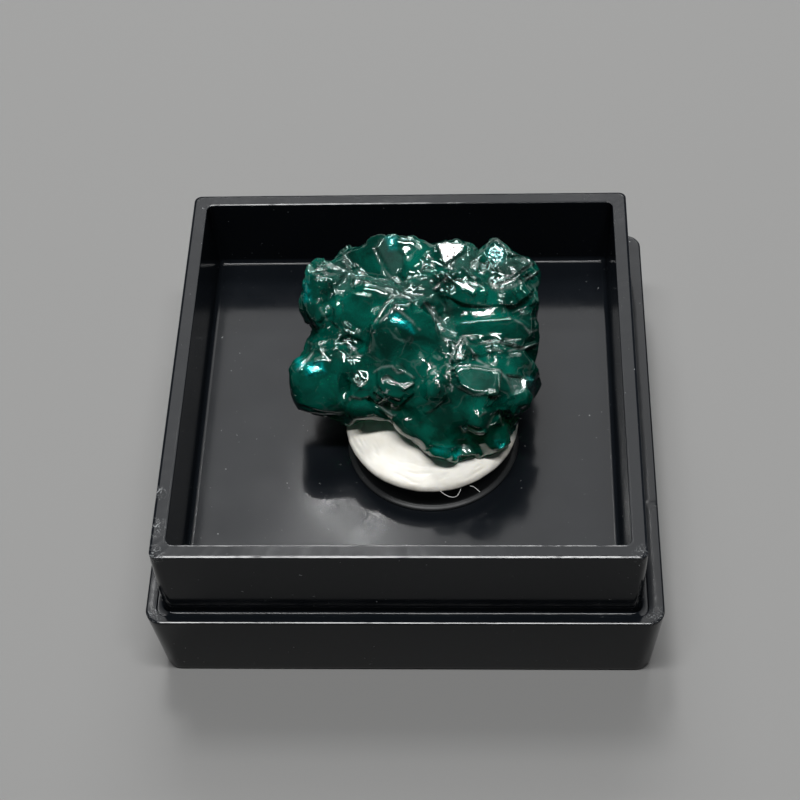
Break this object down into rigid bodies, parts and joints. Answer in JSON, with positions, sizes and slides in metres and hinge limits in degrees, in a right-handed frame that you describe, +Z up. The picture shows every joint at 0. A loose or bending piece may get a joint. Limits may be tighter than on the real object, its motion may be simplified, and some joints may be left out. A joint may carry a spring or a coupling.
{
  "type": "dioptase crystal specimen in display box",
  "caption": "Emerald green dioptase crystal cluster set in white putty on a round black disc, in the open base of a small black display box.",
  "frame": {"origin": "bottom centre of the box's skirt, on the surface that the box stands on", "axes": "+Z up, -Y towards the side of the box that faces the viewer in the picture, +X to that viewer's right"},
  "size_m": [0.041, 0.041, 0.0223],
  "materials": {
    "black_box_plastic": "glossy black injection-moulded polystyrene with lightly scuffed edges",
    "black_disc_plastic": "satin black moulded disc",
    "white_putty": "smooth warm white mineral putty, hand pressed",
    "dioptase_green": "transparent deep emerald green crystal with a vitreous lustre"
  },
  "bodies": {
    "root": {"display_box": "black_box_plastic", "pedestal": "black_disc_plastic", "putty": "white_putty", "dioptase_cluster": "dioptase_green"}
  },
  "joints": []
}
